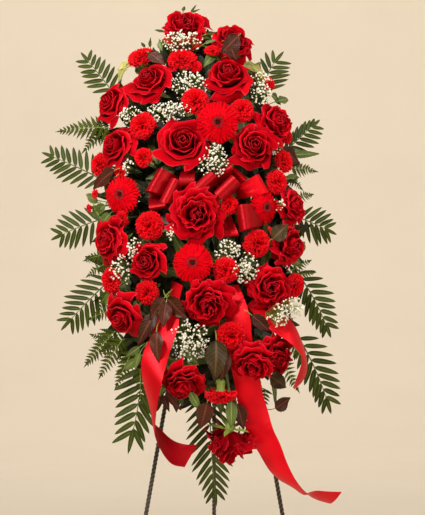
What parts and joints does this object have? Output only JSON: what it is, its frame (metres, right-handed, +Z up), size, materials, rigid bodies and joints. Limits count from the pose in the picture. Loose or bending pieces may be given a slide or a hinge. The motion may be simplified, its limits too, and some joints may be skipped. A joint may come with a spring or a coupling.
{
  "type": "standing funeral spray",
  "caption": "Tall oval spray of red roses, gerberas and carnations with palm fronds and a satin bow, on a slim three-legged folding wire easel.",
  "frame": {"origin": "centre of the bounding box's bottom, on the floor", "axes": "+Z up, the flowers face -Y, +X to the viewer's right"},
  "size_m": [0.656, 0.6214, 1.6915],
  "materials": {
    "wire_easel": "satin",
    "bar_easel": "satin",
    "tip_vinyl": "matte",
    "tray_plastic": "satin",
    "foam_green": "matte",
    "tie_plastic": "satin",
    "rose_petal": "satin",
    "gerbera_petal": "matte",
    "carnation_petal": "matte",
    "palm_leaf": "satin",
    "satin_ribbon": "gloss"
  },
  "bodies": {
    "arrangement": {"bow": "satin_ribbon", "carnation_spray_a": "carnation_petal", "carnation_spray_b": "carnation_petal", "carnation_spray_c": "carnation_petal", "carnation_spray_d": "carnation_petal", "carnation_spray_e": "carnation_petal", "carnation_spray_f": "carnation_petal", "foam_block": "foam_green", "foam_tray": "tray_plastic", "foot_front_left": "tip_vinyl", "foot_front_right": "tip_vinyl", "front_leg_left": "wire_easel", "front_leg_right": "wire_easel", "gerbera_01": "gerbera_petal", "gerbera_02": "gerbera_petal", "gerbera_03": "gerbera_petal", "gerbera_04": "gerbera_petal", "hinge_bar": "bar_easel", "palm_01": "palm_leaf", "palm_02": "palm_leaf", "palm_03": "palm_leaf", "palm_04": "palm_leaf", "palm_05": "palm_leaf", "palm_06": "palm_leaf", "palm_07": "palm_leaf", "palm_08": "palm_leaf", "palm_09": "palm_leaf", "palm_10": "palm_leaf", "palm_11": "palm_leaf", "ribbon_tail_left": "satin_ribbon", "ribbon_tail_long": "satin_ribbon", "ribbon_tail_short": "satin_ribbon", "rose_01": "rose_petal", "rose_02": "rose_petal", "rose_03": "rose_petal", "rose_04": "rose_petal", "rose_05": "rose_petal", "rose_06": "rose_petal", "rose_07": "rose_petal", "rose_08": "rose_petal", "rose_09": "rose_petal", "rose_10": "rose_petal", "rose_11": "rose_petal", "rose_12": "rose_petal", "rose_13": "rose_petal", "rose_14": "rose_petal", "rose_15": "rose_petal", "rose_16": "rose_petal", "rose_17": "rose_petal", "rose_18": "rose_petal", "rose_19": "rose_petal", "rose_20": "rose_petal", "rose_21": "rose_petal", "support_bar": "bar_easel", "tie_lower": "tie_plastic", "tie_upper": "tie_plastic", "top_bar": "bar_easel"},
    "rear_leg": {"rear_leg": "wire_easel", "hinge_sleeve": "bar_easel", "foot_rear": "tip_vinyl"}
  },
  "joints": [
    {"name": "rear_leg_hinge", "type": "hinge", "parent": "arrangement", "child": "rear_leg", "pos_m": [0.0538, 0.0072, 1.2563], "axis": [-1, 0, 0], "range_deg": [0, 20]}
  ]
}
